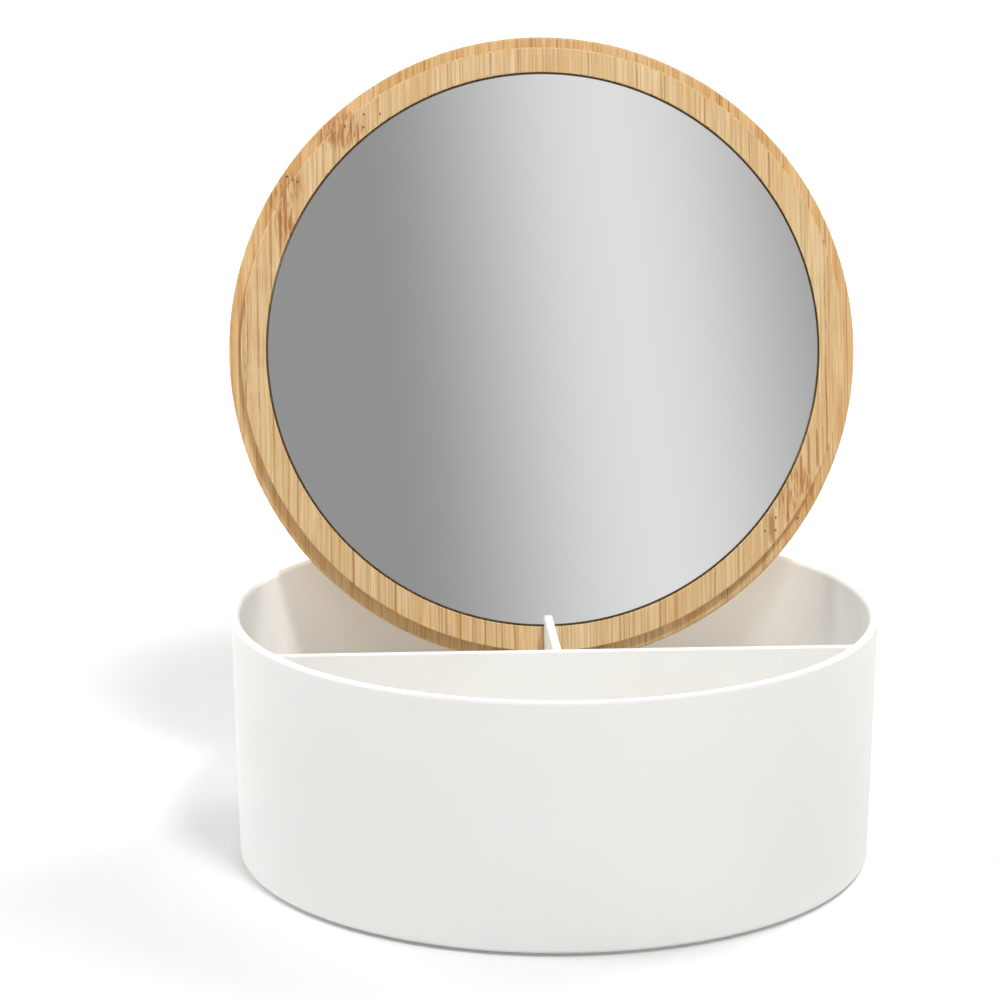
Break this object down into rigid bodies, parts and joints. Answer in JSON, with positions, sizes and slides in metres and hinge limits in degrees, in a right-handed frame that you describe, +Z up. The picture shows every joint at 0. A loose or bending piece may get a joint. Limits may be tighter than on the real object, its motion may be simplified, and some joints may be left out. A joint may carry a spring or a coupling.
{
  "type": "vanity box with mirror",
  "caption": "Round plastic vanity box with a T-shaped divider; its bamboo lid carries a mirror underneath and stands, leaning back, in the divider's slot.",
  "frame": {"origin": "on the tub's axis, on the surface that the four feet stand on", "axes": "+Z up, +X to the right, and the mirror and the front compartment face -Y"},
  "size_m": [0.19, 0.19, 0.2335],
  "materials": {
    "tub_plastic": "fine satin, white",
    "divider_plastic": "fine satin, white",
    "bamboo": "light bamboo strips, sanded, thin satin lacquer",
    "mirror": "silvered glass",
    "tape": "foam adhesive sheet",
    "foot_rubber": "matt, translucent white"
  },
  "bodies": {
    "box": {"tub": "tub_plastic", "divider": "divider_plastic", "foot_front_left": "foot_rubber", "foot_front_right": "foot_rubber", "foot_back_left": "foot_rubber", "foot_back_right": "foot_rubber"},
    "lid": {"lid_board": "bamboo", "mirror_glass": "mirror", "mirror_tape": "tape"}
  },
  "joints": [
    {"name": "lid_lift", "type": "slide", "parent": "box", "child": "lid", "axis": [0, 0.2538, 0.9673], "range_m": [0, 0.04]}
  ]
}
